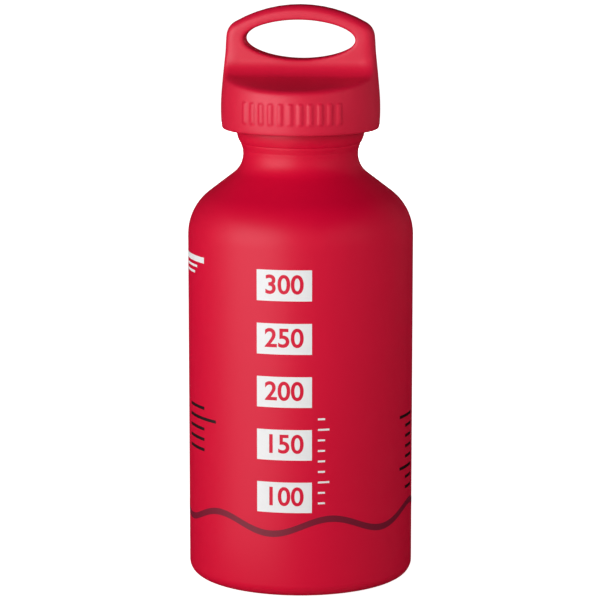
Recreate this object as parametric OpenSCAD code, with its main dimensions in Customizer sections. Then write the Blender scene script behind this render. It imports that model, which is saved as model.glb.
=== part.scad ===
// Small camping fuel bottle with a push-and-turn screw cap.
// The origin is the middle of the foot, on the surface that the bottle stands on, and +Z is up.
// The carrying handle lies in the XZ plane.

/* [Bottle] */
// Outside diameter of the body
body_d = 66; // [58:1:80]
// Height of the straight wall's top, where the shoulder starts
wall_top_z = 101.5; // [70:0.5:200]
// Thickness of the drawn wall
wall = 0.8; // [0.6:0.1:1.2]
// Radius between the wall and the foot
foot_r = 3.8; // [3:0.1:6]
// Width of the flat ring that the bottle stands on
foot_ring_w = 3.2; // [2:0.1:5]
// Rise of the hollow under the base
dome_h = 4; // [2:0.5:6]
// Radius of the rounded shoulder
shoulder_r = 15.5; // [9:0.5:18]
// Slope of the shoulder's cone, in degrees from level
shoulder_slope = 37.5; // [30:0.5:50]
// Radius of the hollow round the neck's waist
waist_arc_r = 7.2; // [5:0.1:9]
// Radius of the flare that turns upright into the collar
flare_arc_r = 7; // [5:0.1:9]
// Steepest lean of the flare, in degrees from upright
flare_lean = 30; // [25:1:35]
// Height of the upright collar, from the flare to the rim
collar_h = 4.8; // [4:0.1:8]
// Wall of the collar round the threaded insert
collar_wall = 1.3; // [1:0.1:1.6]
// Thickness of the lip that is rolled over the insert
lip_t = 1.1; // [0.8:0.1:1.5]
// How far the lip reaches in over the insert
lip_reach = 2; // [1.5:0.1:2.4]

/* [Thread] */
// Diameter over the plug's thread
thread_d = 30; // [26:0.5:36]
// Rise of one turn
thread_pitch = 3; // [2.5:0.25:4]
// Height of a thread ridge
thread_h = 1.3; // [1:0.1:1.6]
// Width of a ridge at its crest
crest_w = 0.7; // [0.5:0.1:0.9]
// Radial gap between the two threads
thread_gap = 0.2; // [0.15:0.05:0.3]
// Gap beside a ridge, at each flank
flank_gap = 0.2; // [0.15:0.05:0.3]
// Wall of the insert outside its thread
insert_wall = 0.8; // [0.6:0.1:1.2]

/* [Plug] */
// Thickness of the seal on the rim
seal_t = 1.6; // [1:0.1:2.5]
// Width of the seal's ring
seal_w = 3.9; // [3.5:0.1:4]
// Gap between the plug's stem and the seal's bore
seal_gap = 0.5; // [0.3:0.1:0.6]
// Thickness of the plug's flange
flange_t = 2; // [1.5:0.1:3]
// How far the flange bears on the retaining ring
flange_bearing = 1.6; // [1:0.1:2]
// Reach of the plug's stem below the rim
stem_l = 11; // [9:0.5:11.5]
// Thickness of the plug's floor, under the spring
plug_floor = 3.2; // [2:0.1:4]
// Depth of the recess in the plug's underside
recess_depth = 1.2; // [0.5:0.1:1.5]
// Bore of the well that holds the spring
well_d = 17.2; // [16.6:0.1:20]
// Width of the vent slot down the thread
vent_w = 2; // [1.5:0.1:3]
// Number of drive lugs on the plug, and on the cap
lug_count = 12; // [8:1:12]
// Height of a drive lug
lug_h = 1.2; // [1:0.1:1.4]
// Width of a drive lug
lug_w = 2.8; // [2:0.1:3]
// Length of a drive lug, along the radius
lug_l = 4; // [3:0.1:5]
// Travel of the cap when it is pressed
press_travel = 1.6; // [1.5:0.1:2]
// Gap left between a lug and the face over it when the cap is pressed
press_gap = 0.2; // [0.1:0.05:0.4]

/* [Spring] */
// Diameter of the spring's wire
wire_d = 1.2; // [0.8:0.1:1.4]
// Diameter over the spring
spring_d = 15.2; // [13:0.1:16]
// Number of the spring's turns
spring_turns = 5.5; // [4:0.5:6]
// Thickness of the slip washer under the spring
washer_t = 0.6; // [0.4:0.1:1]
// Gap round the washer in the well
washer_gap = 0.25; // [0.15:0.05:0.5]

/* [Cap] */
// Gap between the collar and the retaining ring
collar_gap = 0.5; // [0.4:0.05:1]
// Thickness of the retaining ring
ring_t = 1.6; // [1:0.1:2]
// Depth of the groove that holds the ring
groove_depth = 0.7; // [0.5:0.1:0.9]
// Gap of the ring in its groove, and under the flange
ring_gap = 0.05; // [0.03:0.01:0.1]
// Opening of the split in the ring, in degrees
ring_split = 14; // [8:1:30]
// Gap between the flange and the skirt
flange_gap = 0.3; // [0.25:0.05:0.5]
// Wall of the skirt where it is widest
skirt_wall = 2.1; // [1.6:0.1:3]
// How far the skirt hangs below the bottle's rim
skirt_drop = 4.6; // [4:0.1:6]
// Height of the skirt's widest place above its lower edge
belly_h = 5.9; // [5:0.1:7]
// Radius of the skirt's barrel curve
barrel_r = 60; // [50:1:90]
// Radius of the skirt's lower edge
skirt_edge_r = 0.7; // [0.4:0.1:0.9]
// Thickness of the cap's roof at its edge
roof_t = 1.4; // [1.2:0.1:3]
// Slope of the shelf on each side of the handle, in degrees
shelf_slope = 10.5; // [6:0.5:14]
// Radius between the shelf and the handle
shelf_fillet_r = 5.3; // [3:0.1:6]

/* [Handle] */
// Thickness of the handle
handle_t = 7.5; // [6:0.1:9]
// Height of the handle above the shelf's edge
handle_h = 23.4; // [22:0.1:30]
// Radius of the handle's arched top
arch_r = 38.5; // [36:0.5:60]
// Radius of the handle's upper corners
corner_r = 5; // [4:0.1:6]
// Radius along the handle's outer edges
handle_edge_r = 2.4; // [1.5:0.1:2.8]
// Height of the bar over the hole
bar_h = 4.3; // [3.5:0.1:6]
// Width of the posts beside the hole
post_w = 5.35; // [4.5:0.1:7]
// Height of the finger hole
hole_h = 11.4; // [10:0.1:14]
// Fullness of the hole's outline: 2 is an ellipse, and less is more pointed at its ends
hole_fullness = 1.9; // [1.7:0.05:2.3]

/* [Hidden] */

RED = "#c8102e";
CAP_RED = "#d2203c";
ALUMINIUM = "#c9ccd0";
STEEL = "#a9adb2";
RUBBER = "#26262a";
NYLON = "#e6e2d6";

ARC_STEPS = 10;     // straight steps in a quarter-turn arc
HOLE_STEPS = 16;    // straight steps in a quarter of the finger hole
ROUND = 96;         // steps in a full circle
HELIX_STEPS = 32;   // steps in one turn of a thread
COIL_STEPS = 20;    // steps in one turn of the spring
COIL_SIDES = 8;     // sides of the spring's wire
OVER = 1;           // how far a cutter runs past the face that it cuts
SINK = 0.4;         // how deep a ridge or a lug is rooted in what carries it
RUN_OUT = 3;        // steps over which a thread ridge rises and fades at its ends

// Bottle radii, from the thread outwards
body_r = body_d / 2;
thread_r = thread_d / 2;
stem_r = thread_r - thread_h;
insert_bore_r = thread_r + thread_gap;
insert_crest_r = stem_r + thread_gap;
neck_bore_r = insert_bore_r + insert_wall;
waist_r = neck_bore_r + wall;
collar_r = waist_r + (waist_arc_r + flare_arc_r) * (1 - cos(flare_lean));
insert_r = collar_r - collar_wall;
lip_r = insert_r - lip_reach;
root_w = thread_pitch - crest_w - 2 * flank_gap;

// Bottle heights: the shoulder's arc, its cone, the waist, the collar and the rim
cone_turn = 90 - shoulder_slope;
cone_run = body_r - shoulder_r * (1 - cos(cone_turn)) - waist_r - waist_arc_r * (1 - cos(cone_turn));
waist_z = wall_top_z + (shoulder_r + waist_arc_r) * sin(cone_turn) + cone_run * tan(shoulder_slope);
collar_z = waist_z + (waist_arc_r + flare_arc_r) * sin(flare_lean);
rim_z = collar_z + collar_h;
insert_top_z = rim_z - lip_t;
ring_in_r = body_r - foot_r - foot_ring_w;
dome_r = (pow(ring_in_r, 2) + pow(dome_h, 2)) / (2 * dome_h);

// Cap stack, upwards from the rim
flange_z = rim_z + seal_t;
flange_top_z = flange_z + flange_t;
ceiling_z = flange_top_z + lug_h + press_travel + press_gap;
groove_z = flange_z - ring_t - 3 * ring_gap;
shelf_z = ceiling_z + roof_t;
handle_top_z = shelf_z + handle_h;
stem_z = rim_z - stem_l;
well_z = stem_z + plug_floor;
washer_top_z = well_z + washer_t;
skirt_z = rim_z - skirt_drop;
belly_z = skirt_z + belly_h;

// Cap radii, from the collar outwards
seal_in_r = stem_r + seal_gap;
ring_r = collar_r + collar_gap;
flange_r = ring_r + flange_bearing;
skirt_in_r = flange_r + flange_gap;
groove_r = skirt_in_r + groove_depth;
cap_r = skirt_in_r + skirt_wall;
well_r = well_d / 2;
coil_r = (spring_d - wire_d) / 2;
spring_core_r = coil_r - wire_d / 2;
lug_in_r = (well_r + flange_r - lug_l) / 2;

// The cap's side above its barrel curve, a straight taper that the handle's posts follow
taper_z = ceiling_z;
taper = asin((taper_z - belly_z) / barrel_r);
taper_r = cap_r - barrel_r * (1 - cos(taper));
post_r_at_hole = side_r(hole_z()) - post_w;

function hole_z() = handle_top_z - bar_h - hole_h / 2;
function side_r(z) = taper_r - (z - taper_z) * tan(taper);

// Points of an arc about (x, z), from angle a to angle b
function arc(x, z, r, a, b) =
    let (n = max(2, ceil(abs(b - a) / 90 * ARC_STEPS)))
    [for (i = [0:n]) let (t = a + (b - a) * i / n) [x + r * cos(t), z + r * sin(t)]];

function reversed(list) = [for (i = [len(list) - 1:-1:0]) list[i]];

// The bottle's side, from the middle of the base up to the waist, set in by a wall of t
function side_line(t) =
    let (dome_z = dome_h - dome_r,
         dome_edge = asin(sqrt(pow(dome_r + t, 2) - pow(t - dome_z, 2)) / (dome_r + t)))
    concat(arc(0, dome_z, dome_r + t, 90, 90 - dome_edge),
           arc(body_r - foot_r, foot_r, foot_r - t, -90, 0),
           arc(body_r - shoulder_r, wall_top_z, shoulder_r - t, 0, cone_turn),
           arc(waist_r + waist_arc_r, waist_z, waist_arc_r + t, 180 + cone_turn, 180));

// The neck's outside, from the waist up over the rim and the rolled lip
function neck_line() =
    concat(arc(waist_r + waist_arc_r, waist_z, waist_arc_r, 180, 180 - flare_lean),
           arc(collar_r - flare_arc_r, collar_z, flare_arc_r, -flare_lean, 0),
           arc(collar_r - lip_t, rim_z - lip_t, lip_t, 0, 90),
           arc(lip_r + lip_t / 2, rim_z - lip_t / 2, lip_t / 2, 90, 180));

// A closed tube of quadrilaterals through rings of points that all have the same number
module swept(rings) {
    sides = len(rings[0]);
    last = len(rings) - 1;
    points = [for (ring = rings) each ring];
    walls = [for (i = [0:last - 1], j = [0:sides - 1]) let (k = (j + 1) % sides)
        each [[i * sides + j, (i + 1) * sides + k, (i + 1) * sides + j],
              [i * sides + j, i * sides + k, (i + 1) * sides + k]]];
    near_end = [for (j = [1:sides - 2]) [0, j + 1, j]];
    far_end = [for (j = [1:sides - 2]) [last * sides, last * sides + j, last * sides + j + 1]];
    polyhedron(points = points, faces = concat(walls, near_end, far_end));
}

// One right-hand thread ridge between two heights. It stands off a wall of radius foot by rise,
// outwards where rise is positive, and sinks back into that wall at both ends.
module thread_ridge(foot, rise, z0, z1) {
    way = rise > 0 ? 1 : -1;
    lean = (root_w - crest_w) / 2 / abs(rise);
    turns = (z1 - z0) / thread_pitch;
    steps = floor(turns * HELIX_STEPS);
    rings = [for (i = [0:steps])
        let (a = 360 * i / HELIX_STEPS,
             z = z0 + thread_pitch * i / HELIX_STEPS,
             up = min(1, i / RUN_OUT, (steps - i) / RUN_OUT) * abs(rise)
                 - (i == 0 || i == steps ? SINK / 2 : 0),
             foot_half = root_w / 2 + lean * SINK,
             crest_half = root_w / 2 - lean * up,
             section = [[foot - way * SINK, -foot_half], [foot + way * up, -crest_half],
                        [foot + way * up, crest_half], [foot - way * SINK, foot_half]])
        [for (p = way > 0 ? section : reversed(section)) [p[0] * cos(a), p[0] * sin(a), z + p[1]]]];
    swept(rings);
}

// A ring of blocks about the axis, from height z up, the first at angle turn
module lugs(z, h, turn) {
    for (i = [0:lug_count - 1])
        rotate(turn + 360 * i / lug_count) translate([lug_in_r, -lug_w / 2, z]) cube([lug_l, lug_w, h]);
}

// The drawn aluminium bottle: foot, wall, shoulder, neck and rolled lip in one piece
module bottle_shell() {
    color(RED)
    rotate_extrude($fn = ROUND)
    polygon(concat(side_line(0), neck_line(),
                   [[lip_r, insert_top_z], [insert_r, insert_top_z],
                    [insert_r, collar_z], [neck_bore_r, collar_z]],
                   reversed(side_line(wall))));
}

// The threaded insert, hung from its flange in the collar and held down by the lip
module thread_insert() {
    color(ALUMINIUM) {
        rotate_extrude($fn = ROUND)
        polygon([[insert_bore_r, waist_z], [neck_bore_r, waist_z], [neck_bore_r, collar_z],
                 [insert_r, collar_z], [insert_r, insert_top_z], [insert_bore_r, insert_top_z]]);
        thread_ridge(insert_bore_r, insert_crest_r - insert_bore_r,
                     waist_z + root_w / 2 + SINK, insert_top_z - root_w / 2 - SINK);
    }
}

// The flat rubber seal between the rim and the plug's flange
module mouth_seal() {
    edge = seal_t / 4;
    color(RUBBER)
    rotate_extrude($fn = ROUND)
    polygon(concat(arc(seal_in_r + edge, rim_z + edge, edge, 180, 270),
                   arc(seal_in_r + seal_w - edge, rim_z + edge, edge, 270, 360),
                   arc(seal_in_r + seal_w - edge, flange_z - edge, edge, 0, 90),
                   arc(seal_in_r + edge, flange_z - edge, edge, 90, 180)));
}

// The screw plug: threaded stem, spring well, flange and drive lugs, with a vent slot in the thread
module screw_plug() {
    edge = 0.4;
    recess_margin = 1.4;
    recess_r = well_r + recess_margin;
    ridge_z = stem_z + root_w / 2 + SINK;
    // The plug's ridge runs half a pitch from the insert's, whose start sets its phase
    phase = 360 * (ridge_z - (waist_z + root_w / 2 + SINK)) / thread_pitch + 180;
    color(NYLON)
    difference() {
        union() {
            rotate_extrude($fn = ROUND)
            polygon([[0, stem_z + recess_depth], [recess_r, stem_z + recess_depth], [recess_r, stem_z],
                     [stem_r - edge, stem_z], [stem_r, stem_z + edge], [stem_r, flange_z],
                     [flange_r - edge, flange_z], [flange_r, flange_z + edge],
                     [flange_r, flange_top_z - edge], [flange_r - edge, flange_top_z],
                     [well_r, flange_top_z], [well_r, well_z], [0, well_z]]);
            rotate(phase) thread_ridge(stem_r, thread_h, ridge_z, insert_top_z - root_w / 2);
            lugs(flange_top_z - SINK, lug_h + SINK, 0);
        }
        translate([stem_r - SINK / 2, -vent_w / 2, stem_z - OVER])
            cube([thread_h + OVER, vent_w, flange_z - SINK - stem_z + OVER]);
    }
}

// The slip washer that lets the spring turn with the cap
module slip_washer() {
    color(STEEL)
    difference() {
        translate([0, 0, well_z]) cylinder(h = washer_t, r = well_r - washer_gap, $fn = ROUND);
        translate([0, 0, well_z - OVER])
            cylinder(h = washer_t + 2 * OVER, r = spring_core_r - wire_d, $fn = ROUND);
    }
}

// The coil spring that lifts the cap clear of the plug's lugs
module return_spring() {
    end_gap = 0.05;
    low_z = washer_top_z + wire_d / 2 + end_gap;
    high_z = ceiling_z - wire_d / 2 - end_gap;
    steps = round(spring_turns * COIL_STEPS);
    color(STEEL)
    swept([for (i = [0:steps])
        let (a = 360 * i / COIL_STEPS, z = low_z + (high_z - low_z) * i / steps)
        [for (j = [0:COIL_SIDES - 1])
            let (b = 360 * j / COIL_SIDES, r = coil_r + wire_d / 2 * cos(b))
            [r * cos(a), r * sin(a), z + wire_d / 2 * sin(b)]]]);
}

// Front view of the handle, set in by t all along its edge. Its lowest corners tuck into the cap.
function handle_outline(t) =
    let (lean = taper,
         tuck = 1.5,
         foot_z = ceiling_z + roof_t / 2,
         join_z = shelf_z + shelf_fillet_r / 2,
         inner_r = arch_r - corner_r,
         arch_z = handle_top_z - arch_r,
         // The corner's centre is corner_r inside the taper and on a circle about the arch's centre
         m = side_r(arch_z) - corner_r / cos(lean),
         s = tan(lean),
         dz = (m * s + sqrt(pow(m * s, 2) - (1 + s * s) * (m * m - inner_r * inner_r))) / (1 + s * s),
         cx = m - s * dz,
         cz = arch_z + dz,
         top_a = atan2(dz, cx),
         right = concat([[side_r(foot_z) - tuck - t, foot_z], [side_r(join_z) - t, join_z]],
                        arc(cx, cz, corner_r - t, lean, top_a),
                        arc(0, arch_z, arch_r - t, top_a, 90)))
    concat(right, [for (p = reversed(right)) if (p[0] > 0.001) [-p[0], p[1]]]);

// The handle's plate, with its outer edges rounded
module handle_plate() {
    hull()
    for (a = [0:30:90])
        rotate([90, 0, 0])
        linear_extrude(handle_t - 2 * handle_edge_r * (1 - sin(a)), center = true)
        polygon(handle_outline(handle_edge_r * (1 - cos(a))));
}

// The finger hole: an ellipse that is a little pointed at its ends
module finger_hole() {
    quarter = [for (i = [0:HOLE_STEPS]) let (a = 90 * i / HOLE_STEPS)
               [post_r_at_hole * pow(cos(a), 2 / hole_fullness),
                hole_h / 2 * pow(sin(a), 2 / hole_fullness)]];
    upper = concat(quarter, [for (p = reversed(quarter)) if (p[0] > 0.001) [-p[0], p[1]]]);
    lower = [for (p = reversed(upper)) if (p[1] > 0.001) [p[0], -p[1]]];
    translate([0, 0, hole_z()]) rotate([90, 0, 0])
        linear_extrude(handle_t + 2 * OVER, center = true) polygon(concat(upper, lower));
}

// Side view of the cap: skirt, sloping shelves and the fillets that lead up to the handle
function shelf_outline() =
    let (tuck = 0.05,
         cy = handle_t / 2 - tuck + shelf_fillet_r,
         cz = shelf_z + (cap_r - cy) * tan(shelf_slope) + shelf_fillet_r / cos(shelf_slope),
         right = concat([[cap_r + OVER, skirt_z - OVER], [cap_r + OVER, shelf_z - OVER * tan(shelf_slope)]],
                        arc(cy, cz, shelf_fillet_r, 270 - shelf_slope, 180)))
    concat(right, [for (p = reversed(right)) [-p[0], p[1]]]);

// The outside of the skirt as a turned blank that runs on upwards to above the fillets
module cap_blank() {
    blank_top_z = shelf_z + handle_h / 2;
    tuck = 0.15;
    rotate_extrude($fn = ROUND)
    polygon(concat([[0, skirt_z], [cap_r - skirt_wall, skirt_z]],
                   arc(blank_low_r() - skirt_edge_r, skirt_z + skirt_edge_r, skirt_edge_r, -90, 0),
                   arc(cap_r - barrel_r, belly_z, barrel_r, -blank_low_a(), taper),
                   [[side_r(blank_top_z) - tuck, blank_top_z], [0, blank_top_z]]));
}

function blank_low_a() = asin((belly_h - skirt_edge_r) / barrel_r);
function blank_low_r() = cap_r - barrel_r * (1 - cos(blank_low_a()));

// The room inside the cap, with the groove for the retaining ring
module cap_room() {
    bevel = 1.1;
    rotate_extrude($fn = ROUND)
    polygon([[0, skirt_z - OVER], [skirt_in_r, skirt_z - OVER],
             [skirt_in_r, groove_z], [groove_r, groove_z], [groove_r, flange_z], [skirt_in_r, flange_z],
             [skirt_in_r, ceiling_z - bevel], [skirt_in_r - bevel, ceiling_z], [0, ceiling_z]]);
}

// The moulded outer cap: skirt, roof, handle, drive lugs and the boss that centres the spring
module outer_cap() {
    boss_h = 3.4;
    boss_gap = 0.6;
    boss_r = spring_core_r - boss_gap;
    color(CAP_RED)
    union() {
        difference() {
            union() {
                intersection() {
                    cap_blank();
                    rotate([90, 0, 90])
                        linear_extrude(2 * cap_r + 2 * OVER, center = true) polygon(shelf_outline());
                }
                handle_plate();
            }
            cap_room();
            finger_hole();
        }
        lugs(ceiling_z - lug_h, lug_h + SINK, 180 / lug_count);
        translate([0, 0, ceiling_z - boss_h]) cylinder(h = boss_h + SINK, r = boss_r, $fn = ROUND);
    }
}

// The split ring that snaps into the skirt and holds the plug in the cap
module retaining_ring() {
    low_z = flange_z - ring_gap - ring_t;
    color(STEEL)
    difference() {
        translate([0, 0, low_z]) cylinder(h = ring_t, r = groove_r - ring_gap, $fn = ROUND);
        translate([0, 0, low_z - OVER]) cylinder(h = ring_t + 2 * OVER, r = ring_r, $fn = ROUND);
        rotate(90 - ring_split / 2)
            rotate_extrude(angle = ring_split, $fn = ROUND)
            translate([ring_r - OVER, low_z - OVER])
                square([groove_r - ring_r + 2 * OVER, ring_t + 2 * OVER]);
    }
}

bottle_shell();
thread_insert();
mouth_seal();
screw_plug();
slip_washer();
return_spring();
outer_cap();
retaining_ring();
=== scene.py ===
"""A small camping fuel bottle in red lacquered aluminium, with its red push-and-turn cap.

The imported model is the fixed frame. Sizes here are in millimetres until a mesh is made.
"""

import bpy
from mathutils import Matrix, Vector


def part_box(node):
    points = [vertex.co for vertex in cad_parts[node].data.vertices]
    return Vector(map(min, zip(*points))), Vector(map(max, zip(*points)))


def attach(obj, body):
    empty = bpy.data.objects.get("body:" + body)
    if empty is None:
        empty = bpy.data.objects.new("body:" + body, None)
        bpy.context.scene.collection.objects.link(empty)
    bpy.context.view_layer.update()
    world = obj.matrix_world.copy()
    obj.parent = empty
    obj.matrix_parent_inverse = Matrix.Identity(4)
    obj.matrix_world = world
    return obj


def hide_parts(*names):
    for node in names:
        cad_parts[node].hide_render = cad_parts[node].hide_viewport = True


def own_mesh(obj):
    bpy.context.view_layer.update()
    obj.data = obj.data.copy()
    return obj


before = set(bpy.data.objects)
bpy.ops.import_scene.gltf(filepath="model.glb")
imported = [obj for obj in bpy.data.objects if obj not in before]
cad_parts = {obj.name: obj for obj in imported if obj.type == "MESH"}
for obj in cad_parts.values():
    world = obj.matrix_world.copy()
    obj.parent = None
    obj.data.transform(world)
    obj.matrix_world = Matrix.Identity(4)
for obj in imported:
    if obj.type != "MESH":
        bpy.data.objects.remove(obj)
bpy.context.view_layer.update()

import math

import bpy
from mathutils import Vector

MM = 0.001


# The camera of the photograph
# It stands 850 mm from the bottle's axis and a little above it, turned to the right of the
# handle's face, so that it sees the left wall of the finger hole. Its lens is a long one.
CAMERA_DISTANCE = 850
CAMERA_HEIGHT = 227.5
CAMERA_PITCH = 0.170
CAMERA_TURN = math.radians(7.6)
BOTTLE_RIGHT_OF_CENTRE = 0.18
PHOTO_WIDTH = 600
FOCAL_PIXELS = 2930
SENSOR = 36

bpy.ops.object.camera_add()
camera = bpy.context.object
camera.name = "camera"
camera.data.sensor_width = SENSOR
camera.data.lens = FOCAL_PIXELS * SENSOR / PHOTO_WIDTH
camera.data.clip_start, camera.data.clip_end = 0.05, 20
aside = Vector((math.cos(CAMERA_TURN), math.sin(CAMERA_TURN), 0))
back = Vector((math.sin(CAMERA_TURN), -math.cos(CAMERA_TURN), 0))
camera.location = (back * CAMERA_DISTANCE - aside * BOTTLE_RIGHT_OF_CENTRE) * MM
camera.location.z = CAMERA_HEIGHT * MM
camera.rotation_euler = (math.pi / 2 - CAMERA_PITCH, 0, CAMERA_TURN)
bpy.context.scene.camera = camera
bpy.context.scene.view_settings.view_transform = "Standard"


# The bottle
# One aluminium cup, drawn and then necked: hollow foot, straight wall, round shoulder, waisted
# neck, flared collar and a lip rolled in over the threaded insert. It is lacquered outside.
INK = 0.03
BODY_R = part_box("bottle_shell")[1].x / MM - INK
WALL = 0.8
FOOT_R = 3.8
FOOT_RING_W = 3.2
DOME_H = 4.0
WALL_TOP_Z = 101.5
SHOULDER_R = 15.5
SHOULDER_SLOPE = 37.5
WAIST_R = 16.8
WAIST_ARC_R = 7.2
FLARE_ARC_R = 7.0
FLARE_LEAN = 30
COLLAR_WALL = 1.3
LIP = 1.1
LIP_REACH = 2.0
BOTTLE_SIDES = 192
RIM_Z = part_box("bottle_shell")[1].z / MM


def arc(x, z, r, start, end, steps=None):
    """Points of an arc about (x, z), between two angles in degrees."""
    steps = steps or max(3, math.ceil(abs(end - start) / 5))
    turns = [math.radians(start + (end - start) * i / steps) for i in range(steps + 1)]
    return [(x + r * math.cos(t), z + r * math.sin(t)) for t in turns]


def alone(piece):
    """Leaves one object selected and active."""
    bpy.ops.object.select_all(action="DESELECT")
    piece.select_set(True)
    bpy.context.view_layer.objects.active = piece


def drawn(name, points):
    """Draws a line of 3-D points by extruding one vertex from point to point, in edit mode."""
    bpy.ops.object.select_all(action="DESELECT")
    bpy.ops.mesh.primitive_plane_add(size=MM)
    piece = bpy.context.object
    piece.name = name
    bpy.ops.object.mode_set(mode="EDIT")
    bpy.ops.mesh.merge(type="CENTER")
    bpy.ops.transform.translate(value=Vector(points[0]) * MM)
    for here, there in zip(points, points[1:]):
        step = (Vector(there) - Vector(here)) * MM
        bpy.ops.mesh.extrude_vertices_move(TRANSFORM_OT_translate={"value": step})
    bpy.ops.mesh.select_all(action="SELECT")
    return piece


def closed(threshold=0.002):
    """Merges the doubles of the mesh in edit mode, faces it outwards and leaves edit mode."""
    bpy.ops.mesh.select_all(action="SELECT")
    bpy.ops.mesh.remove_doubles(threshold=threshold * MM)
    bpy.ops.mesh.normals_make_consistent(inside=False)
    bpy.ops.object.mode_set(mode="OBJECT")


def turned(name, line, sides):
    """Spins a line of (radius, height) points about the bottle's axis."""
    piece = drawn(name, [(r, 0, z) for r, z in line])
    bpy.ops.mesh.spin(steps=sides, angle=math.tau, center=(0, 0, 0), axis=(0, 0, 1))
    closed()
    return piece


cone_turn = 90 - SHOULDER_SLOPE
turn_sin = math.sin(math.radians(cone_turn))
turn_cos = math.cos(math.radians(cone_turn))
lean_sin = math.sin(math.radians(FLARE_LEAN))
lean_cos = math.cos(math.radians(FLARE_LEAN))
cone_run = BODY_R - WAIST_R - (SHOULDER_R + WAIST_ARC_R) * (1 - turn_cos)
waist_z = WALL_TOP_Z + (SHOULDER_R + WAIST_ARC_R) * turn_sin
waist_z += cone_run * math.tan(math.radians(SHOULDER_SLOPE))
collar_z = waist_z + (WAIST_ARC_R + FLARE_ARC_R) * lean_sin
collar_r = WAIST_R + (WAIST_ARC_R + FLARE_ARC_R) * (1 - lean_cos)
insert_r = collar_r - COLLAR_WALL
lip_r = insert_r - LIP_REACH
ring_in_r = BODY_R - FOOT_R - FOOT_RING_W
dome_r = (ring_in_r**2 + DOME_H**2) / (2 * DOME_H)


def side_line(t):
    """The bottle's side from the middle of its base up to the waist, set in by a wall of t."""
    dome_z = DOME_H - dome_r
    dome_turn = math.degrees(math.acos((t - dome_z) / (dome_r + t)))
    return (
        arc(0, dome_z, dome_r + t, 90, 90 - dome_turn)
        + arc(BODY_R - FOOT_R, FOOT_R, FOOT_R - t, -90, 0)
        + arc(BODY_R - SHOULDER_R, WALL_TOP_Z, SHOULDER_R - t, 0, cone_turn)
        + arc(WAIST_R + WAIST_ARC_R, waist_z, WAIST_ARC_R + t, 180 + cone_turn, 180)
    )


# Two fine grooves are left round the neck by its forming rollers
GROOVES = ((10.5, 0.08), (26.5, 0.15))
GROOVE_SPREAD = 2.4
neck_line = []
start = 180
for climb, depth in GROOVES:
    middle = WAIST_R + WAIST_ARC_R
    neck_line += arc(middle, waist_z, WAIST_ARC_R, start, 180 - climb + GROOVE_SPREAD)
    neck_line += arc(middle, waist_z, WAIST_ARC_R + depth, 180 - climb, 180 - climb, 1)[:1]
    start = 180 - climb - GROOVE_SPREAD
neck_line += (
    arc(WAIST_R + WAIST_ARC_R, waist_z, WAIST_ARC_R, start, 180 - FLARE_LEAN)
    + arc(collar_r - FLARE_ARC_R, collar_z, FLARE_ARC_R, -FLARE_LEAN, 0)
    + arc(collar_r - LIP, RIM_Z - LIP, LIP, 0, 90)
    + arc(lip_r + LIP / 2, RIM_Z - LIP / 2, LIP / 2, 90, 180)
)
inner_neck = [
    (lip_r, RIM_Z - LIP),
    (insert_r, RIM_Z - LIP),
    (insert_r, collar_z),
    (WAIST_R - WALL, collar_z),
]
bottle_line = side_line(0) + neck_line + inner_neck + side_line(WALL)[::-1]
bottle = turned("bottle", bottle_line, BOTTLE_SIDES)
alone(bottle)
bpy.ops.object.shade_smooth_by_angle(angle=math.radians(35))


def linear(hex_colour):
    """An sRGB hex colour as the linear colour that a shader takes."""
    channels = [int(hex_colour[i : i + 2], 16) / 255 for i in (1, 3, 5)]
    curve = [c / 12.92 if c <= 0.04045 else ((c + 0.055) / 1.055) ** 2.4 for c in channels]
    return (*curve, 1)


def add(tree, kind, links=None, **settings):
    """Adds a node. links gives its sockets a value, or another node's socket to be fed from."""
    node = tree.nodes.new(kind)
    for name, value in settings.items():
        setattr(node, name, value)
    for socket, value in (links or {}).items():
        if isinstance(value, bpy.types.NodeSocket):
            tree.links.new(value, node.inputs[socket])
        else:
            node.inputs[socket].default_value = value
    return node


def new_material(name):
    """An empty node material with its output, and the tree to build it in."""
    material = bpy.data.materials.new(name)
    material.use_nodes = True
    material.node_tree.nodes.clear()
    return material, material.node_tree


def finish_material(tree, shader):
    add(tree, "ShaderNodeOutputMaterial", {"Surface": shader.outputs[0]})


def paint(piece, material):
    """Gives a piece, new or from the frame, this one material."""
    piece.data.materials.clear()
    piece.data.materials.append(material)


# Satin lacquer on aluminium: stoved in one thin even coat, with a fine orange peel. It gives a
# wide, soft sheen with no sharp reflections, and a clean saturated red.
PEEL_MM = 0.7
CLOUD_MM = 22
lacquer, tree = new_material("satin_red_lacquer")
place = add(tree, "ShaderNodeTexCoord").outputs["Object"]
peel = add(tree, "ShaderNodeTexNoise", {"Vector": place, "Scale": 1 / (PEEL_MM * MM), "Detail": 3})
cloud = add(tree, "ShaderNodeTexNoise", {"Vector": place, "Scale": 1 / (CLOUD_MM * MM), "Detail": 2})
tint = add(
    tree,
    "ShaderNodeMix",
    {0: cloud.outputs["Fac"], 6: linear("#c6022d"), 7: linear("#cb0331")},
    data_type="RGBA",
)
gloss = add(
    tree,
    "ShaderNodeMapRange",
    {"Value": peel.outputs["Fac"], "To Min": 0.36, "To Max": 0.46},
)
relief = add(
    tree,
    "ShaderNodeBump",
    {"Height": peel.outputs["Fac"], "Strength": 0.12, "Distance": 0.02 * MM},
)
shader = add(
    tree,
    "ShaderNodeBsdfPrincipled",
    {
        "Base Color": tint.outputs[2],
        "Roughness": gloss.outputs[0],
        "Normal": relief.outputs[0],
        "IOR": 1.45,
        "Specular IOR Level": 0.26,
    },
)
finish_material(tree, shader)
paint(bottle, lacquer)
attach(bottle, "bottle")
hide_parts("bottle_shell")


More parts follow.
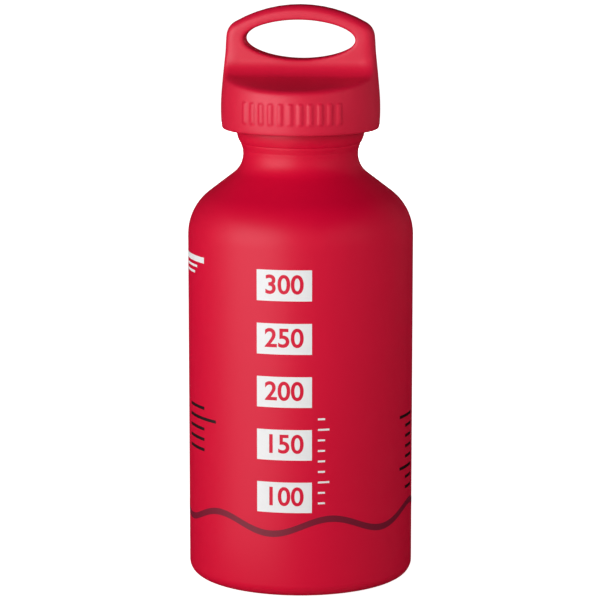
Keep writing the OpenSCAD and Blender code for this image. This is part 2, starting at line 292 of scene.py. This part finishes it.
# The prints
# Screen-printed films of ink on the wall. A white level gauge, with plain numbers of millilitres
# cut out of its blocks, small rulers in steps of 10 ml, a white filling line and a wavy band.
# Each block's top is at its level in the standing bottle.
TEN_ML = 10000 / (math.pi * (BODY_R - WALL) ** 2)
LEVEL_100_Z = 34.2
BLOCK_H = 8.9
BLOCK_TURN = -8.3
BLOCK_HALF = 13.9
DIGIT_SIZE = 7.6
INK_STEP = 1.5


def applied(piece, kind, **settings):
    """Adds a modifier to a piece and applies it."""
    alone(piece)
    bpy.ops.object.modifier_add(type=kind)
    modifier = piece.modifiers[-1]
    for name, value in settings.items():
        setattr(modifier, name, value)
    bpy.ops.object.modifier_apply(modifier=modifier.name)


def combine(piece, other, operation, use_self=False):
    """Joins, cuts or intersects a piece with another, which is used up.

    use_self is for another whose own parts may touch, as the figures of a number do.
    """
    way = {"operation": operation, "solver": "EXACT", "use_self": use_self}
    applied(piece, "BOOLEAN", object=other, **way)
    bpy.data.objects.remove(other)


def on_wall(turn, z):
    """A point of the bottle's wall, at a turn from the camera's side."""
    turn = CAMERA_TURN + math.radians(turn)
    return (BODY_R * math.sin(turn), -BODY_R * math.cos(turn), z)


def printed(name, line, tall):
    """A film of ink: a line of (turn, height) points on the wall, run upwards."""
    piece = drawn(name, [on_wall(turn, z) for turn, z in line])
    rise = {"value": (0, 0, tall * MM)}
    bpy.ops.mesh.extrude_edges_move(TRANSFORM_OT_translate=rise)
    closed()
    applied(piece, "SOLIDIFY", thickness=2 * INK * MM, offset=0)
    bpy.ops.object.mode_set(mode="EDIT")
    closed()
    return piece


def bar(name, low_turn, high_turn, z, tall):
    """A straight bar of ink whose middle is at height z."""
    steps = math.ceil((high_turn - low_turn) / INK_STEP)
    turns = [low_turn + (high_turn - low_turn) * i / steps for i in range(steps + 1)]
    return printed(name, [(turn, z - tall / 2) for turn in turns], tall)


def joined(name, pieces):
    """Makes one object of several."""
    bpy.ops.object.select_all(action="DESELECT")
    for piece in pieces:
        piece.select_set(True)
    bpy.context.view_layer.objects.active = pieces[0]
    bpy.ops.object.join()
    pieces[0].name = name
    return pieces[0]


def number(text, turn, z, size):
    """A plain bold number as a solid that runs through the wall."""
    bpy.ops.object.select_all(action="DESELECT")
    bpy.ops.object.text_add()
    piece = bpy.context.object
    piece.data.body = text
    piece.data.align_x = "CENTER"
    piece.data.align_y = "CENTER"
    piece.data.size = size * MM
    piece.data.offset = size * MM * 0.02
    piece.data.extrude = 2 * MM
    bpy.ops.object.convert(target="MESH")
    piece.rotation_euler = (math.pi / 2, 0, CAMERA_TURN + math.radians(turn))
    piece.location = Vector(on_wall(turn, z)) * MM
    bpy.ops.object.transform_apply(location=True, rotation=True, scale=True)
    bpy.ops.object.mode_set(mode="EDIT")
    closed(0.001)
    return piece


def ruler(name, low_turn, long_turn, short_turn, first, last, tall):
    """Ticks every 10 ml, counted from the 100 ml level, of which the round fifties are long."""
    ticks = []
    for step in range(first, last + 1):
        end = long_turn if step % 5 == 0 else short_turn
        turns = sorted((low_turn, end))
        ticks.append(bar(name, *turns, LEVEL_100_Z + TEN_ML * step, tall))
    return joined(name, ticks)


blocks = []
for i in range(5):
    middle_z = LEVEL_100_Z + 5 * TEN_ML * i - BLOCK_H / 2
    block = bar("gauge", BLOCK_TURN - BLOCK_HALF, BLOCK_TURN + BLOCK_HALF, middle_z, BLOCK_H)
    figures = number(str(100 + 50 * i), BLOCK_TURN, middle_z, DIGIT_SIZE)
    combine(block, figures, "DIFFERENCE", use_self=True)
    blocks.append(block)
gauge = joined("level_gauge", blocks)
fine_ruler = ruler("gauge_ruler", 8.6, 14.4, 12.2, -2, 6, 0.55)
fill_line = joined(
    "filling_line",
    [
        bar("fill", -104, -57.5, 96.1, 1.7),
        bar("fill", -82, -65, 93.9, 0.7),
        bar("fill", -82, -68, 92.1, 0.7),
    ],
)
left_ruler = ruler("left_ruler", -76, -48, -58, 2, 6, 0.9)
right_ruler = ruler("right_ruler", 78, 61, 68, -2, 5, 0.9)
WAVE_Z, WAVE_H, WAVE_T, WAVES = 20.2, 2.2, 1.9, 6
wave_line = [
    (turn, WAVE_Z + WAVE_H * math.sin(math.radians(WAVES * turn))) for turn in range(0, 361, 2)
]
wave = printed("wave_band", wave_line, WAVE_T)

# Screen inks: thin, opaque and a little duller than the lacquer, with the fine unevenness that
# the screen's mesh leaves. The plum one is a transparent tint over the red.
SCREEN_MM = 0.25


def ink(name, dark, light):
    """A screen ink that varies between two close colours."""
    material, tree = new_material(name)
    place = add(tree, "ShaderNodeTexCoord").outputs["Object"]
    mesh = {"Vector": place, "Scale": 1 / (SCREEN_MM * MM), "Detail": 2}
    mesh = add(tree, "ShaderNodeTexNoise", mesh).outputs["Fac"]
    tint = {0: mesh, 6: linear(dark), 7: linear(light)}
    tint = add(tree, "ShaderNodeMix", tint, data_type="RGBA").outputs[2]
    relief = {"Height": mesh, "Strength": 0.15, "Distance": 0.01 * MM}
    relief = add(tree, "ShaderNodeBump", relief).outputs[0]
    look = {"Base Color": tint, "Normal": relief, "Roughness": 0.5, "Specular IOR Level": 0.3}
    finish_material(tree, add(tree, "ShaderNodeBsdfPrincipled", look))
    return material


white_ink = ink("white_screen_ink", "#dadbdb", "#e3e3e3")
black_ink = ink("black_screen_ink", "#120a0c", "#1a0f12")
plum_ink = ink("plum_screen_ink", "#6c0a24", "#740d2a")
for piece, colour in (
    (gauge, white_ink),
    (fine_ruler, white_ink),
    (fill_line, white_ink),
    (left_ruler, black_ink),
    (right_ruler, black_ink),
    (wave, plum_ink),
):
    paint(piece, colour)
    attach(piece, "bottle")


# The threaded insert
# A ring turned from bare aluminium and held in the neck by the rolled lip. The tool has left fine
# rings round it, which spread its reflections up and down.
TURNING_MM = 0.12


def grained(name, dark, light, grain_mm, matt, stretch, look):
    """A material whose colour, gloss and relief follow one grain, drawn out as it was made."""
    material, tree = new_material(name)
    place = add(tree, "ShaderNodeTexCoord").outputs["Object"]
    place = add(tree, "ShaderNodeMapping", {"Vector": place, "Scale": stretch}).outputs[0]
    grain = {"Vector": place, "Scale": 1 / (grain_mm * MM), "Detail": 3}
    grain = add(tree, "ShaderNodeTexNoise", grain).outputs["Fac"]
    tint = {0: grain, 6: linear(dark), 7: linear(light)}
    tint = add(tree, "ShaderNodeMix", tint, data_type="RGBA").outputs[2]
    gloss = {"Value": grain, "To Min": matt[0], "To Max": matt[1]}
    gloss = add(tree, "ShaderNodeMapRange", gloss).outputs[0]
    relief = {"Height": grain, "Strength": 0.25, "Distance": 0.02 * MM}
    relief = add(tree, "ShaderNodeBump", relief).outputs[0]
    look = {"Base Color": tint, "Roughness": gloss, "Normal": relief, **look}
    finish_material(tree, add(tree, "ShaderNodeBsdfPrincipled", look))
    return material


# Bare aluminium, turned: pale and bright, with a mesh of rings that all run round the axis
ROUND_THE_AXIS = (0.05, 0.05, 1)
METAL = {"Metallic": 1}
turned_aluminium = grained(
    "turned_aluminium", "#cfd0d2", "#e2e3e4", TURNING_MM, (0.24, 0.38), ROUND_THE_AXIS, METAL
)
paint(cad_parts["thread_insert"], turned_aluminium)


# The seal
# A flat ring of black nitrile rubber, moulded and laid on the bottle's rim. Fuel has dulled it.
BLOOM_MM = 0.8
nitrile_rubber = grained(
    "nitrile_rubber", "#131415", "#1e1f21", BLOOM_MM, (0.55, 0.72), (1, 1, 1), {"IOR": 1.52}
)
paint(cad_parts["mouth_seal"], nitrile_rubber)


# The plug
# It is injection moulded in natural nylon, which is milky and lets a little light in. It has the
# low sheen of a fine moulding tool, with faint flow clouds.
FLOW_MM = 2.5
MILKY = {"IOR": 1.53, "Subsurface Weight": 0.2, "Subsurface Scale": 1.5 * MM}
natural_nylon = grained(
    "natural_nylon", "#e0dac9", "#ece7da", FLOW_MM, (0.38, 0.5), (1, 1, 1), MILKY
)
paint(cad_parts["screw_plug"], natural_nylon)


# The slip washer and the retaining ring
# The washer, on which the spring turns, is stamped from stainless strip. The ring that holds the
# plug in the cap is a split coil of such strip. Rolls left faint marks along the steel.
DRAWING_MM = 0.2
drawn_steel = grained(
    "drawn_stainless_steel", "#a9acaf", "#bfc2c5", DRAWING_MM, (0.2, 0.34), ROUND_THE_AXIS, METAL
)
for part in ("slip_washer", "retaining_ring"):
    paint(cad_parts[part], drawn_steel)


# The return spring
# It is coiled from hard stainless wire, stands on the washer and lifts the cap. It has the
# solid's own mesh in a piece of its own, on a body of its own.
spring = bpy.data.objects.new("coil_spring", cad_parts["return_spring"].data.copy())
bpy.context.collection.objects.link(spring)
paint(spring, drawn_steel)
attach(spring, "spring_set")
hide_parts("return_spring")
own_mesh(spring)


# The cap
# One moulding in red plastic: a barrel-shaped skirt, two sloping shelves, and a carrying handle
# with an eye-shaped finger hole. Its groove, lugs and spring boss are inside.
SKIRT_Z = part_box("outer_cap")[0].z / MM
HANDLE_TOP_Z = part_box("outer_cap")[1].z / MM
FLANGE_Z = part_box("mouth_seal")[1].z / MM
FLANGE_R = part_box("screw_plug")[1].x / MM
RING_T = 1.6
RING_GAP = 0.05
FLANGE_GAP = 0.3
GROOVE_DEPTH = 0.7
SKIRT_WALL = 2.1
BELLY_H = 5.9
BARREL_R = 60
SKIRT_EDGE_R = 0.7
LUG_H = 1.2
LUG_W = 2.8
LUG_L = 4
LUG_COUNT = 12
WELL_R = 8.6
CEILING_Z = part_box("screw_plug")[1].z / MM + 1.8
ROOF_T = 1.4
SHELF_SLOPE = 10.5
SHELF_FILLET_R = 5.3
HANDLE_T = 7.5
ARCH_R = 38.5
CORNER_R = 5
HANDLE_EDGE_R = 2.4
BAR_H = 4.3
POST_W = 5.35
HOLE_H = 11.4
HOLE_FULLNESS = 1.9
HOLE_SIDES = 96
BOSS_R = 5.8
BOSS_H = 3.4
CAP_SIDES = 192
OVER = 1

skirt_in_r = FLANGE_R + FLANGE_GAP
groove_r = skirt_in_r + GROOVE_DEPTH
cap_r = skirt_in_r + SKIRT_WALL
belly_z = SKIRT_Z + BELLY_H
shelf_z = CEILING_Z + ROOF_T
taper = math.asin((CEILING_Z - belly_z) / BARREL_R)
taper_r = cap_r - BARREL_R * (1 - math.cos(taper))
lug_in_r = (WELL_R + FLANGE_R - LUG_L) / 2


def side_r(z):
    """Half width of the cap and of its handle at a height above the barrel curve."""
    return taper_r - (z - CEILING_Z) * math.tan(taper)


def mirrored(right):
    """A closed outline from its right half, which starts low and ends on or near the axis."""
    return right + [(-x, z) for x, z in right[::-1] if x > 0.001]


def plate(name, outline, thickness, along):
    """Extrudes an outline of (across, height) points along X or Y, centred on the bottle's axis."""
    half = thickness / 2
    if along == "X":
        points = [(-half, x, z) for x, z in outline]
    else:
        points = [(x, -half, z) for x, z in outline]
    drawn(name, points + points[:1])
    bpy.ops.mesh.remove_doubles(threshold=0.002 * MM)
    bpy.ops.mesh.edge_face_add()
    depth = thickness * MM
    way = (depth, 0, 0) if along == "X" else (0, depth, 0)
    bpy.ops.mesh.extrude_region_move(TRANSFORM_OT_translate={"value": way})
    closed()
    return bpy.context.object


# The blank is turned, then cut to the side view of the shelves
low_turn = math.degrees(math.asin((BELLY_H - SKIRT_EDGE_R) / BARREL_R))
low_r = cap_r - BARREL_R * (1 - math.cos(math.radians(low_turn)))
blank_top_z = shelf_z + 12
blank_line = (
    [(0, SKIRT_Z)]
    + arc(low_r - SKIRT_EDGE_R, SKIRT_Z + SKIRT_EDGE_R, SKIRT_EDGE_R, -90, 0)
    + arc(cap_r - BARREL_R, belly_z, BARREL_R, -low_turn, math.degrees(taper), 14)
    + [(side_r(blank_top_z), blank_top_z), (0, blank_top_z)]
)
cap = turned("cap", blank_line, CAP_SIDES)
fillet_y = HANDLE_T / 2 - 0.05 + SHELF_FILLET_R
shelf_rise = math.tan(math.radians(SHELF_SLOPE))
fillet_z = shelf_z + (cap_r - fillet_y) * shelf_rise
fillet_z += SHELF_FILLET_R / math.cos(math.radians(SHELF_SLOPE))
shelf_half = [(cap_r + OVER, SKIRT_Z - OVER), (cap_r + OVER, shelf_z - OVER * shelf_rise)]
shelf_half += arc(fillet_y, fillet_z, SHELF_FILLET_R, 270 - SHELF_SLOPE, 180, 14)
combine(cap, plate("shelf_shape", mirrored(shelf_half), 2 * cap_r + 2 * OVER, "X"), "INTERSECT")

# The handle's corner has its centre on a circle about the arch's centre
arch_z = HANDLE_TOP_Z - ARCH_R
inner_r = ARCH_R - CORNER_R
slope = math.tan(taper)
reach = side_r(arch_z) - CORNER_R / math.cos(taper)
corner_up = reach * slope
corner_up += math.sqrt(corner_up**2 - (1 + slope**2) * (reach**2 - inner_r**2))
corner_up /= 1 + slope**2
corner_x = reach - slope * corner_up
corner_turn = math.degrees(math.atan2(corner_up, corner_x))
foot_z = CEILING_Z + ROOF_T / 2
handle_half = (
    [(side_r(foot_z) - 2.5, foot_z), (side_r(shelf_z + 2), shelf_z + 2)]
    + arc(corner_x, arch_z + corner_up, CORNER_R, math.degrees(taper), corner_turn)
    + arc(0, arch_z, ARCH_R, corner_turn, 90)
)
handle = plate("handle", mirrored(handle_half), HANDLE_T - 2 * HANDLE_EDGE_R, "Y")
rounding = [math.radians(90 * i / 6) for i in range(7)]
for side in (-1, 1):
    alone(handle)
    bpy.ops.object.mode_set(mode="EDIT")
    bpy.ops.mesh.select_mode(type="FACE")
    bpy.ops.mesh.select_all(action="DESELECT")
    bpy.ops.object.mode_set(mode="OBJECT")
    for face in handle.data.polygons:
        face.select = face.normal.y * side > 0.9
    bpy.ops.object.mode_set(mode="EDIT")
    for here, there in zip(rounding, rounding[1:]):
        inwards = HANDLE_EDGE_R * (math.cos(here) - math.cos(there)) * MM
        outwards = HANDLE_EDGE_R * (math.sin(there) - math.sin(here)) * MM
        bpy.ops.mesh.inset(thickness=inwards, depth=outwards, use_even_offset=True)
    bpy.ops.mesh.select_mode(type="VERT")
    closed()
combine(cap, handle, "UNION")

# The finger hole is an ellipse that is a little pointed at its ends
hole_z = HANDLE_TOP_Z - BAR_H - HOLE_H / 2
hole_half = side_r(hole_z) - POST_W
eye = []
for i in range(HOLE_SIDES):
    turn = math.tau * i / HOLE_SIDES
    across = hole_half * abs(math.cos(turn)) ** (2 / HOLE_FULLNESS)
    up = HOLE_H / 2 * abs(math.sin(turn)) ** (2 / HOLE_FULLNESS)
    eye.append(
        (math.copysign(across, math.cos(turn)), hole_z + math.copysign(up, math.sin(turn)))
    )
combine(cap, plate("finger_hole", eye, HANDLE_T + 4, "Y"), "DIFFERENCE")

# The moulding's edges are all a little round: it is remeshed finely and smoothed, and most along
# the front edges of the shelves and the rims of the finger hole
VOXEL = 0.35
EDGE_REACH = (1.7, 2.6)
RIM_REACH = (2.0, 0.9)
applied(cap, "REMESH", mode="VOXEL", voxel_size=VOXEL * MM, use_smooth_shade=True)


def scoop_distance(across, z):
    """How far a point of the side view is from the outline of the shelf and its fillet."""
    if across > fillet_y:
        shelf_line = shelf_z + (cap_r - across) * shelf_rise
        return abs(z - shelf_line) * math.cos(math.radians(SHELF_SLOPE))
    if z < fillet_z:
        return abs(math.hypot(across - fillet_y, z - fillet_z) - SHELF_FILLET_R)
    return abs(across - fillet_y + SHELF_FILLET_R)


def hole_distance(across, up):
    """How far a point of the front view is from the outline of the finger hole."""
    wide, tall = across / hole_half, up / (HOLE_H / 2)
    steep = math.hypot(
        wide ** (HOLE_FULLNESS - 1) / hole_half, tall ** (HOLE_FULLNESS - 1) / (HOLE_H / 2)
    )
    outside = wide**HOLE_FULLNESS + tall**HOLE_FULLNESS - 1
    return abs(outside) / (HOLE_FULLNESS * max(steep, 0.01))


shelf_edge = cap.vertex_groups.new(name="shelf_edge")
hole_rim = cap.vertex_groups.new(name="hole_rim")
for vertex in cap.data.vertices:
    x, y, z = (c / MM for c in vertex.co)
    away = math.hypot(hole_distance(abs(x), abs(z - hole_z)), abs(y) - HANDLE_T / 2)
    if away < RIM_REACH[0] * RIM_REACH[1]:
        hole_rim.add([vertex.index], min(1, RIM_REACH[0] - away / RIM_REACH[1]), "REPLACE")
    away = math.hypot(scoop_distance(abs(y), z), math.hypot(x, y) - side_r(z))
    near = min(1, EDGE_REACH[0] - away / EDGE_REACH[1])
    high = (z - fillet_z - 1) / 4
    weight = min(near, 1 - high)
    if weight > 0:
        shelf_edge.add([vertex.index], weight, "REPLACE")
applied(cap, "SMOOTH", factor=0.5, iterations=6)
applied(cap, "SMOOTH", factor=0.5, iterations=110, vertex_group="shelf_edge")
applied(cap, "SMOOTH", factor=0.5, iterations=12, vertex_group="hole_rim")

# Low soft ribs for the fingers are raised in a row on the middle of the skirt, front and back
RIB_LOW_Z, RIB_HIGH_Z = 135.2, 142
RIB_RISE = 0.34
RIB_W = 2.2
RIB_EDGE = 0.8
RIB_PITCH = 7.2
RIB_COUNT = 11


def swell(inside):
    """How far a point is up a rib's soft edge, from how far inside its outline it lies."""
    climb = min(1, max(0, inside / RIB_EDGE))
    return climb * climb * (3 - 2 * climb)


ribs = cap.vertex_groups.new(name="ribs")
for vertex in cap.data.vertices:
    x, y, z = (c / MM for c in vertex.co)
    if math.hypot(x, y) < cap_r - 1:
        continue
    turn = math.degrees(math.atan2(x, abs(y)))
    rib = max(-(RIB_COUNT // 2), min(RIB_COUNT // 2, round(turn / RIB_PITCH)))
    across = abs(math.radians(turn - rib * RIB_PITCH)) * cap_r
    weight = swell(RIB_W / 2 - across) * swell(min(z - RIB_LOW_Z, RIB_HIGH_Z - z))
    if weight > 0:
        ribs.add([vertex.index], weight, "REPLACE")
rising = {"strength": RIB_RISE * MM, "mid_level": 0, "direction": "NORMAL"}
applied(cap, "DISPLACE", vertex_group="ribs", **rising)

# The room inside, with its groove, is cut after the smoothing, so that its edges stay crisp
room_line = [
    (0, SKIRT_Z - OVER),
    (skirt_in_r + 0.5, SKIRT_Z - OVER),
    (skirt_in_r + 0.5, SKIRT_Z),
    (skirt_in_r, SKIRT_Z + 0.5),
    (skirt_in_r, FLANGE_Z - RING_T - 3 * RING_GAP),
    (groove_r, FLANGE_Z - RING_T - 3 * RING_GAP),
    (groove_r, FLANGE_Z),
    (skirt_in_r, FLANGE_Z),
    (skirt_in_r, CEILING_Z - 1.1),
    (skirt_in_r - 1.1, CEILING_Z),
    (BOSS_R, CEILING_Z),
    (BOSS_R, CEILING_Z - BOSS_H),
    (0, CEILING_Z - BOSS_H),
]
room = turned("room", room_line, CAP_SIDES)
for i in range(LUG_COUNT):
    turn = math.tau * (i + 0.5) / LUG_COUNT
    middle = lug_in_r + LUG_L / 2
    bpy.ops.object.select_all(action="DESELECT")
    bpy.ops.mesh.primitive_cube_add(
        size=MM,
        location=(middle * math.cos(turn) * MM, middle * math.sin(turn) * MM, CEILING_Z * MM),
        rotation=(0, 0, turn),
        scale=(LUG_L, LUG_W, 2 * LUG_H),
    )
    combine(room, bpy.context.object, "DIFFERENCE")
combine(cap, room, "DIFFERENCE")
alone(cap)
bpy.ops.object.shade_smooth_by_angle(angle=math.radians(40))

# Moulded plastic with a fine spark-eroded texture: slightly paler and more orange than the
# lacquer, with a broad dull sheen
GRAIN_MM = 0.35
cap_plastic, tree = new_material("moulded_red_plastic")
place = add(tree, "ShaderNodeTexCoord").outputs["Object"]
grain = add(tree, "ShaderNodeTexNoise", {"Vector": place, "Scale": 1 / (GRAIN_MM * MM), "Detail": 2})
cloud = add(tree, "ShaderNodeTexNoise", {"Vector": place, "Scale": 1 / (9 * MM), "Detail": 2})
tint = add(
    tree,
    "ShaderNodeMix",
    {0: cloud.outputs["Fac"], 6: linear("#c91133"), 7: linear("#cf1539")},
    data_type="RGBA",
)
gloss = add(
    tree,
    "ShaderNodeMapRange",
    {"Value": grain.outputs["Fac"], "To Min": 0.38, "To Max": 0.48},
)
relief = add(
    tree,
    "ShaderNodeBump",
    {"Height": grain.outputs["Fac"], "Strength": 0.2, "Distance": 0.02 * MM},
)
shader = add(
    tree,
    "ShaderNodeBsdfPrincipled",
    {
        "Base Color": tint.outputs[2],
        "Roughness": gloss.outputs[0],
        "Normal": relief.outputs[0],
        "IOR": 1.49,
        "Specular IOR Level": 0.34,
    },
)
finish_material(tree, shader)
paint(cap, cap_plastic)
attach(cap, "cap")
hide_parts("outer_cap")


# The studio
# The bottle stands on a white floor in a white room. A wide, low softbox at the front left gives
# the body its broad soft highlight, and a weak fill opens the right side a little. A black
# ceiling leaves the shoulder deep red. Cards that only reflections see, and that cast no shade,
# stand round it: black felt behind it and on the floor keeps its edges dark, faintly glowing
# cards at the right put a painted dim sheen on that side, and two glowing cards on the floor at
# the front left put a painted highlight low on the body.
LOOK_AT = Vector((0, 0, 0.09))
KEY_TURN, KEY_DISTANCE, KEY_HEIGHT = -47, 0.8, 0.29
KEY_WIDTH, KEY_TALL, KEY_WATTS = 0.88, 0.58, 7.1
FILL_WATTS = 2.3
BACK_WATTS = 4
ROOM_LIGHT = 0.34
FLOOR_GLOW = 0.9
GLOW_CARDS_BEFORE = 140
HIGHLIGHT_CARD_TURN = -42


def beside(turn_degrees, distance, height):
    """A place round the bottle, turned from the camera's side, with distances in metres."""
    turn = CAMERA_TURN + math.radians(turn_degrees)
    return Vector((math.sin(turn) * distance, -math.cos(turn) * distance, height))


def facing(piece, target):
    """Turns a lamp or a card to face a point."""
    piece.rotation_euler = (target - piece.location).to_track_quat("-Z", "Y").to_euler()


def softbox(name, place, width, tall, watts):
    bpy.ops.object.light_add(type="AREA", location=place)
    lamp = bpy.context.object
    lamp.name = name
    lamp.data.shape = "RECTANGLE"
    lamp.data.size, lamp.data.size_y = width, tall
    lamp.data.energy = watts
    facing(lamp, Vector((0, 0, place.z)))
    return lamp


def card(name, place, target, width, tall, material):
    """A flat card that the lamps' light and reflections meet and the camera doesn't see."""
    bpy.ops.object.select_all(action="DESELECT")
    bpy.ops.mesh.primitive_plane_add(size=1, location=place)
    piece = bpy.context.object
    piece.name = name
    piece.scale = (width, tall, 1)
    facing(piece, target)
    piece.visible_camera = False
    paint(piece, material)
    return piece


def seen_white(tree):
    """A factor that is 1 where the camera, a reflection or a refraction looks at the background."""
    path = add(tree, "ShaderNodeLightPath")
    two = {0: path.outputs["Is Camera Ray"], 1: path.outputs["Is Glossy Ray"]}
    two = add(tree, "ShaderNodeMath", two, operation="MAXIMUM")
    three = {0: two.outputs[0], 1: path.outputs["Is Transmission Ray"]}
    return add(tree, "ShaderNodeMath", three, operation="MAXIMUM").outputs[0]


softbox("key_softbox", beside(KEY_TURN, KEY_DISTANCE, KEY_HEIGHT), KEY_WIDTH, KEY_TALL, KEY_WATTS)
fill = softbox("right_fill", beside(52, 0.75, 0.36), 0.6, 0.5, FILL_WATTS)
back_fill = softbox("back_fill", beside(170, 1.2, 0.2), 1.0, 0.4, BACK_WATTS)
for lamp in (fill, back_fill):
    lamp.visible_glossy = False

black_felt, tree = new_material("black_felt")
finish_material(tree, add(tree, "ShaderNodeBsdfDiffuse", {"Color": linear("#050505")}))
# A faint white glow, seen only in reflections: it puts a painted dim sheen on the bottle's right
# side.
faint_glow_card, tree = new_material("faint_glow_card")
finish_material(tree, add(tree, "ShaderNodeEmission", {"Color": (1, 1, 1, 1), "Strength": 0.12}))
card("ceiling", Vector((0, 0, 0.95)), LOOK_AT, 2.6, 2.6, black_felt)
reflection_cards = []
# The cards at the right glow faintly, a painted dim sheen on that side; those behind are black felt.
# Only reflections see them.
for turn in (50, 75, 100, 125, 150, 175, 200, 225, 250):
    middle = Vector((0, 0, 0.3))
    card_surface = faint_glow_card if turn < GLOW_CARDS_BEFORE else black_felt
    reflection_cards.append(card(f"felt_{turn}", beside(turn, 0.6, 0.3), middle, 0.28, 0.62, card_surface))
reflection_cards.append(card("floor_felt", Vector((0, 0, 0.0002)), Vector((0, 0, -1)), 1.6, 1.6, black_felt))

# Two glowing cards, seen only in reflections, lie on the floor at the front left: they put a painted
# highlight low on the body, down to its foot.
highlight_glow, tree = new_material("glowing_highlight_card")
finish_material(tree, add(tree, "ShaderNodeEmission", {"Color": (1, 1, 1, 1), "Strength": 1.7}))
for name, distance, size in (("near_card", 0.11, 0.09), ("glowing_highlight_card", 0.4, 0.42)):
    place = beside(HIGHLIGHT_CARD_TURN, distance, 0.001)
    reflection_cards.append(card(name, place, place - Vector((0, 0, 1)), size, size, highlight_glow))
    reflection_cards[-1].rotation_euler.z = CAMERA_TURN + math.radians(HIGHLIGHT_CARD_TURN)
# Every card in this list is seen only in reflections and casts no shade.
for felt in reflection_cards:
    felt.visible_diffuse = False
    felt.visible_shadow = False

bpy.ops.object.select_all(action="DESELECT")
bpy.ops.mesh.primitive_plane_add(size=8, location=(0, 0, -0.0002))
floor = bpy.context.object
floor.name = "floor"
white_floor, tree = new_material("white_floor")
plain = add(tree, "ShaderNodeBsdfDiffuse", {"Color": linear("#e8e8e8")})
glow = add(tree, "ShaderNodeEmission", {"Color": (1, 1, 1, 1), "Strength": FLOOR_GLOW})
bright = add(tree, "ShaderNodeAddShader", {0: plain.outputs[0], 1: glow.outputs[0]})
both = {0: seen_white(tree), 1: plain.outputs[0], 2: bright.outputs[0]}
finish_material(tree, add(tree, "ShaderNodeMixShader", both))
paint(floor, white_floor)

world = bpy.data.worlds.new("white_room")
bpy.context.scene.world = world
world.use_nodes = True
tree = world.node_tree
tree.nodes.clear()
level = {"Value": seen_white(tree), "To Min": ROOM_LIGHT, "To Max": 1.0}
level = add(tree, "ShaderNodeMapRange", level)
room = add(tree, "ShaderNodeBackground", {"Color": (1, 1, 1, 1), "Strength": level.outputs[0]})
add(tree, "ShaderNodeOutputWorld", {"Surface": room.outputs[0]})
